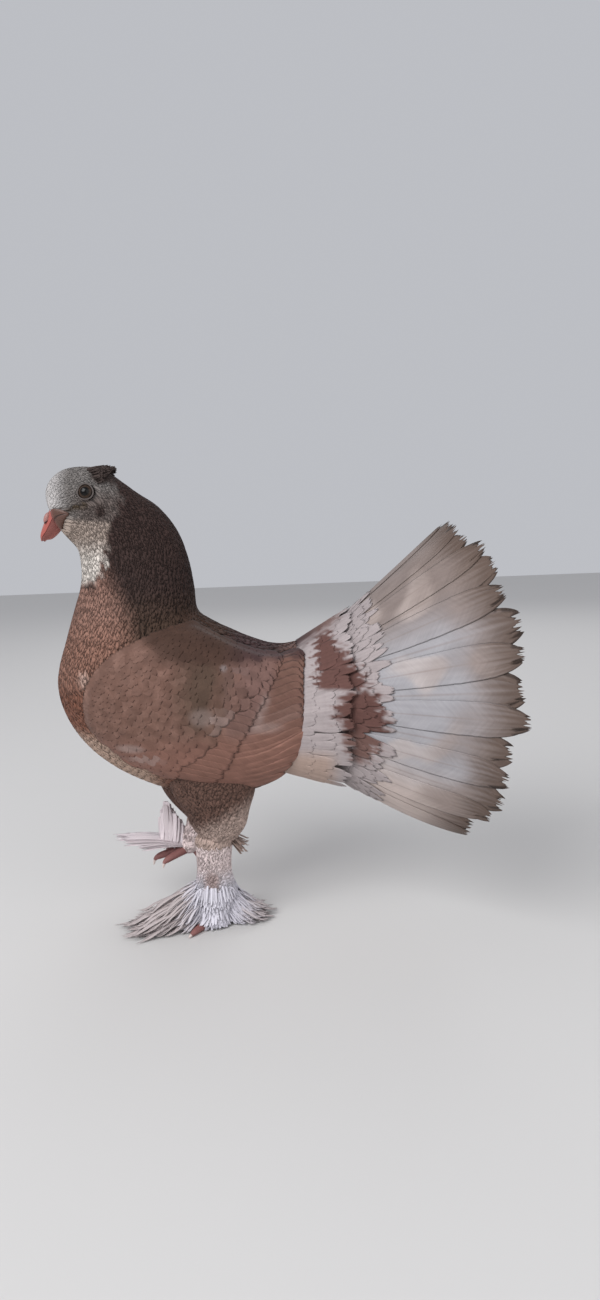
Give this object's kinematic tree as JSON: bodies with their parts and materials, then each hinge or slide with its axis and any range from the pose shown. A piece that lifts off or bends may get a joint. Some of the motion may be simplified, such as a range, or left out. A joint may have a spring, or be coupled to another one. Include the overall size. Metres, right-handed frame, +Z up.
{
  "type": "fantail pigeon model",
  "caption": "Life-size still model of a fantail pigeon that stands on one feathered foot, with its tail raised and spread.",
  "frame": {"origin": "on the floor, at the middle of the flat sole under the ankle of the standing left foot", "axes": "+Z up; -X the way the bird faces; -Y its left side"},
  "size_m": [0.2701, 0.201, 0.2824],
  "materials": {
    "head_feathers": "white, soft",
    "neck_feathers": "near-black brown, soft",
    "body_feathers": "chestnut, soft",
    "wing_feathers": "brown with pale feather edges, soft",
    "tail_feathers": "white, soft",
    "thigh_feathers": "brown, soft",
    "foot_feathers": "white, soft",
    "bill": "pinkish red, smooth",
    "eye": "near-black brown, wet gloss"
  },
  "bodies": {
    "root": {"head": "head_feathers", "neck": "neck_feathers", "torso": "body_feathers", "rump": "body_feathers", "bill_upper": "bill", "bill_lower": "bill", "eye_left": "eye", "eye_right": "eye", "wing_left": "wing_feathers", "wing_right": "wing_feathers", "tail_fan_top": "tail_feathers", "tail_fan_left_high": "tail_feathers", "tail_fan_left_low": "tail_feathers", "tail_fan_right_high": "tail_feathers", "tail_fan_right_low": "tail_feathers", "thigh_left": "thigh_feathers", "thigh_right": "thigh_feathers", "shank_left": "foot_feathers", "shank_right": "foot_feathers", "foot_left": "foot_feathers", "foot_right": "foot_feathers"}
  },
  "joints": []
}
